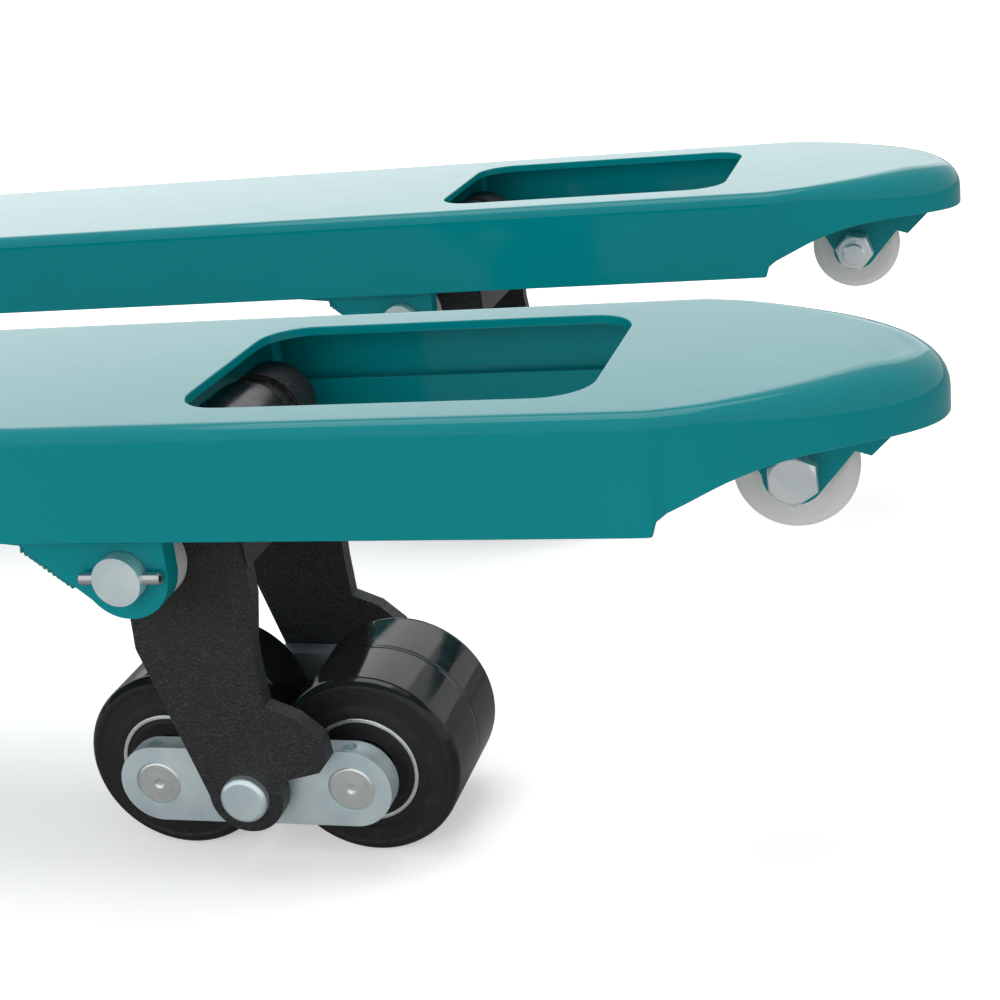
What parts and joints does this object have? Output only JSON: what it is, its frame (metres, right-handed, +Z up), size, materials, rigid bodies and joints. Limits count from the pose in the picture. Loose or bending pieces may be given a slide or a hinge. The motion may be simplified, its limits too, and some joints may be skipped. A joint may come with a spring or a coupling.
{
  "type": "pallet truck",
  "caption": "Hand pallet truck with raised forks, swinging tandem load rollers, entry rollers, hydraulic pump, steering wheels and a tilting tiller.",
  "frame": {"origin": "floor level below the middle of the bounding box, midway between the forks", "axes": "+X towards the fork tips, +Y to the truck's left, +Z up"},
  "size_m": [1.54, 0.53, 1.22],
  "materials": {
    "teal_paint": "gloss enamel",
    "black_paint": "fine textured powder coat",
    "zinc": "blue white zinc plate",
    "zinc_bolts": "blue white zinc plate",
    "bright_steel": "turned steel",
    "chrome": "hard chrome",
    "white_nylon": "satin nylon",
    "black_roller": "gloss moulded tread",
    "pump_paint": "painted casting",
    "tyre": "solid rubber",
    "rim": "die cast",
    "lever_plastic": "grained plastic"
  },
  "bodies": {
    "chassis": {"fork_left": "teal_paint", "fork_right": "teal_paint", "nose_left": "teal_paint", "nose_right": "teal_paint", "web_left": "teal_paint", "web_right": "teal_paint", "ears_left": "teal_paint", "ears_right": "teal_paint", "heel_box": "teal_paint", "head_arm": "teal_paint", "rocker_hangers": "teal_paint", "entry_bracket_left": "teal_paint", "entry_bracket_right": "teal_paint", "entry_bolts": "zinc_bolts", "entry_nuts": "zinc_bolts", "pivot_pins": "zinc", "roll_pins": "bright_steel", "piston_rod": "chrome"},
    "roller_frame_left": {"roller_frame_left": "black_paint", "frame_bushes_left": "white_nylon"},
    "bogie_pins_left": {"bogie_pins_left": "zinc"},
    "bogie_left": {"bogie_plates_left": "zinc", "axles_left": "bright_steel"},
    "load_wheel_left_rear": {"load_roller_left_rear": "black_roller", "bearings_left_rear": "bright_steel"},
    "load_wheel_left_front": {"load_roller_left_front": "black_roller", "bearings_left_front": "bright_steel"},
    "entry_wheel_left": {"entry_roller_left": "white_nylon"},
    "push_rod_left": {"push_rod_left": "black_paint"},
    "roller_frame_right": {"roller_frame_right": "black_paint", "frame_bushes_right": "white_nylon"},
    "bogie_pins_right": {"bogie_pins_right": "zinc"},
    "bogie_right": {"bogie_plates_right": "zinc", "axles_right": "bright_steel"},
    "load_wheel_right_rear": {"load_roller_right_rear": "black_roller", "bearings_right_rear": "bright_steel"},
    "load_wheel_right_front": {"load_roller_right_front": "black_roller", "bearings_right_front": "bright_steel"},
    "entry_wheel_right": {"entry_roller_right": "white_nylon"},
    "push_rod_right": {"push_rod_right": "black_paint"},
    "rocker": {"rocker": "black_paint", "rocker_pins": "zinc", "seat_pin": "zinc"},
    "pump_seat": {"seat_ring": "pump_paint"},
    "pump": {"pump_body": "pump_paint", "pump_tank": "pump_paint", "pump_cylinder": "pump_paint", "plunger_spring": "bright_steel", "steering_axle": "bright_steel", "tiller_pin": "zinc"},
    "plunger": {"plunger": "zinc"},
    "steering_wheel_left": {"tyre_left": "tyre", "rim_left": "rim"},
    "steering_wheel_right": {"tyre_right": "tyre", "rim_right": "rim"},
    "release_lever": {"release_lever": "zinc"},
    "tiller": {"tiller": "black_paint"},
    "crank_roller": {"crank_roller": "bright_steel"},
    "control_lever": {"control_lever": "lever_plastic"},
    "release_rod": {"release_rod": "bright_steel"}
  },
  "joints": [
    {"name": "fork_lift", "type": "slide", "parent": "chassis", "child": "pump_seat", "axis": [0, 0, 1], "range_m": [0, 0.12]},
    {"name": "frame_swing_left", "type": "hinge", "parent": "chassis", "child": "roller_frame_left", "pos_m": [0.46151, 0.185, 0.1435], "axis": [0, -1, 0], "range_deg": [0, 83.45]},
    {"name": "bogie_level_left", "type": "hinge", "parent": "roller_frame_left", "child": "bogie_pins_left", "pos_m": [0.49001, 0.185, 0.04], "axis": [0, -1, 0], "range_deg": [-83.45, 0]},
    {"name": "bogie_tilt_left", "type": "hinge", "parent": "bogie_pins_left", "child": "bogie_left", "pos_m": [0.49001, 0.185, 0.04], "axis": [0, -1, 0], "range_deg": [-8, 8]},
    {"name": "roller_spin_left_rear", "type": "hinge", "parent": "bogie_left", "child": "load_wheel_left_rear", "pos_m": [0.44751, 0.185, 0.04], "axis": [0, 1, 0], "continuous": true},
    {"name": "roller_spin_left_front", "type": "hinge", "parent": "bogie_left", "child": "load_wheel_left_front", "pos_m": [0.53251, 0.185, 0.04], "axis": [0, 1, 0], "continuous": true},
    {"name": "entry_spin_left", "type": "hinge", "parent": "chassis", "child": "entry_wheel_left", "pos_m": [0.71241, 0.185, 0.158], "axis": [0, 1, 0], "continuous": true},
    {"name": "rod_turn_left", "type": "hinge", "parent": "roller_frame_left", "child": "push_rod_left", "pos_m": [0.48151, 0.185, 0.1725], "axis": [0, -1, 0], "range_deg": [-84.98, 0]},
    {"name": "frame_swing_right", "type": "hinge", "parent": "chassis", "child": "roller_frame_right", "pos_m": [0.46151, -0.185, 0.1435], "axis": [0, -1, 0], "range_deg": [0, 83.45]},
    {"name": "bogie_level_right", "type": "hinge", "parent": "roller_frame_right", "child": "bogie_pins_right", "pos_m": [0.49001, -0.185, 0.04], "axis": [0, -1, 0], "range_deg": [-83.45, 0]},
    {"name": "bogie_tilt_right", "type": "hinge", "parent": "bogie_pins_right", "child": "bogie_right", "pos_m": [0.49001, -0.185, 0.04], "axis": [0, -1, 0], "range_deg": [-8, 8]},
    {"name": "roller_spin_right_rear", "type": "hinge", "parent": "bogie_right", "child": "load_wheel_right_rear", "pos_m": [0.44751, -0.185, 0.04], "axis": [0, 1, 0], "continuous": true},
    {"name": "roller_spin_right_front", "type": "hinge", "parent": "bogie_right", "child": "load_wheel_right_front", "pos_m": [0.53251, -0.185, 0.04], "axis": [0, 1, 0], "continuous": true},
    {"name": "entry_spin_right", "type": "hinge", "parent": "chassis", "child": "entry_wheel_right", "pos_m": [0.71241, -0.185, 0.158], "axis": [0, 1, 0], "continuous": true},
    {"name": "rod_turn_right", "type": "hinge", "parent": "roller_frame_right", "child": "push_rod_right", "pos_m": [0.48151, -0.185, 0.1725], "axis": [0, -1, 0], "range_deg": [-84.98, 0]},
    {"name": "rocker_turn", "type": "hinge", "parent": "chassis", "child": "rocker", "pos_m": [-0.42669, 0, 0.23652], "axis": [0, 1, 0], "range_deg": [0, 46]},
    {"name": "steer", "type": "hinge", "parent": "pump_seat", "child": "pump", "pos_m": [-0.6657, 0, 0.2], "axis": [0, 0, 1], "range_deg": [-90, 90]},
    {"name": "wheel_spin_left", "type": "hinge", "parent": "pump", "child": "steering_wheel_left", "pos_m": [-0.6657, 0.068, 0.09], "axis": [0, 1, 0], "continuous": true},
    {"name": "wheel_spin_right", "type": "hinge", "parent": "pump", "child": "steering_wheel_right", "pos_m": [-0.6657, -0.068, 0.09], "axis": [0, 1, 0], "continuous": true},
    {"name": "tiller_tilt", "type": "hinge", "parent": "pump", "child": "tiller", "pos_m": [-0.7277, 0, 0.33], "axis": [0, -1, 0], "range_deg": [0, 75], "stiffness_Nm_per_rad": 16, "springref_deg": -34.38},
    {"name": "plunger_stroke", "type": "slide", "parent": "pump", "child": "plunger", "axis": [0, 0, -1], "range_m": [0, 0.03166], "deforming": ["plunger_spring"]},
    {"name": "crank_roller_spin", "type": "hinge", "parent": "tiller", "child": "crank_roller", "pos_m": [-0.74833, 0, 0.34583], "axis": [0, 1, 0], "continuous": true},
    {"name": "control_lever_turn", "type": "hinge", "parent": "tiller", "child": "control_lever", "pos_m": [-0.7277, 0, 1.066], "axis": [0, -1, 0], "range_deg": [-10, 10]},
    {"name": "release_rod_slide", "type": "slide", "parent": "tiller", "child": "release_rod", "axis": [0, 0, -1], "range_m": [-0.00157, 0.00157]},
    {"name": "release_lever_turn", "type": "hinge", "parent": "pump", "child": "release_lever", "pos_m": [-0.6757, 0.062, 0.266], "axis": [0, 1, 0], "range_deg": [-10, 10]}
  ],
  "couplings": [
    {"joint": "frame_swing_left", "follows": "fork_lift", "rad_per_m": 12.137},
    {"joint": "bogie_level_left", "follows": "fork_lift", "rad_per_m": -12.137},
    {"joint": "rod_turn_left", "follows": "fork_lift", "rad_per_m": -12.36},
    {"joint": "frame_swing_right", "follows": "fork_lift", "rad_per_m": 12.137},
    {"joint": "bogie_level_right", "follows": "fork_lift", "rad_per_m": -12.137},
    {"joint": "rod_turn_right", "follows": "fork_lift", "rad_per_m": -12.36},
    {"joint": "rocker_turn", "follows": "fork_lift", "rad_per_m": 6.6904},
    {"joint": "plunger_stroke", "follows": "tiller_tilt", "m_per_rad": 0.024183},
    {"joint": "release_rod_slide", "follows": "control_lever_turn", "m_per_rad": 0.009},
    {"joint": "release_lever_turn", "follows": "control_lever_turn", "ratio": 1}
  ]
}
